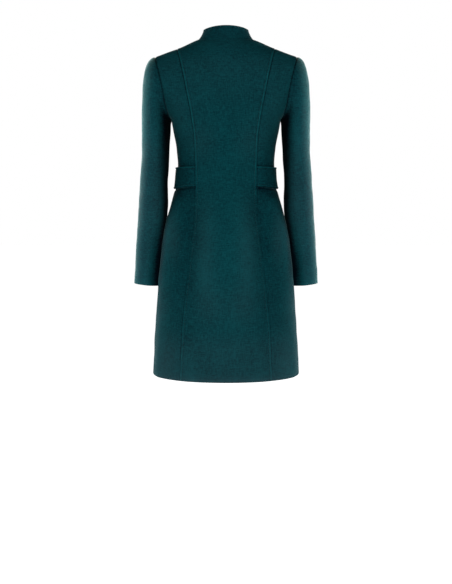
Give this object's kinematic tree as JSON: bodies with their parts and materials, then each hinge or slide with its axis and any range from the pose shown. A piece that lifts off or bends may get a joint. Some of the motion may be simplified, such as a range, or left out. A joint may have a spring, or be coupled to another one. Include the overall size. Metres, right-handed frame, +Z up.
{
  "type": "fitted coat",
  "caption": "Fitted, flared coat in dark teal wool melton with princess seams, a stand collar, set-in sleeves and half belts at the waist, filled out as worn.",
  "frame": {"origin": "where the coat sits on the wearer's shoulders: on the middle line, on the shoulder ridge, level with the sides of the neck", "axes": "+Z up the coat from hem to collar, +Y towards the front of the coat, +X to the wearer's right; the back of the coat faces -Y"},
  "size_m": [0.5044, 0.3131, 0.9196],
  "materials": {
    "melton": "brushed wool melton with a short matt nap and a soft pale sheen at its edges"
  },
  "bodies": {
    "root": {"back_centre": "melton", "back_side_left": "melton", "back_side_right": "melton", "collar": "melton", "front_left": "melton", "front_right": "melton", "front_side_left": "melton", "front_side_right": "melton", "half_belt_left": "melton", "half_belt_right": "melton", "sleeve_under_left": "melton", "sleeve_under_right": "melton", "sleeve_upper_left": "melton", "sleeve_upper_right": "melton"}
  },
  "joints": []
}
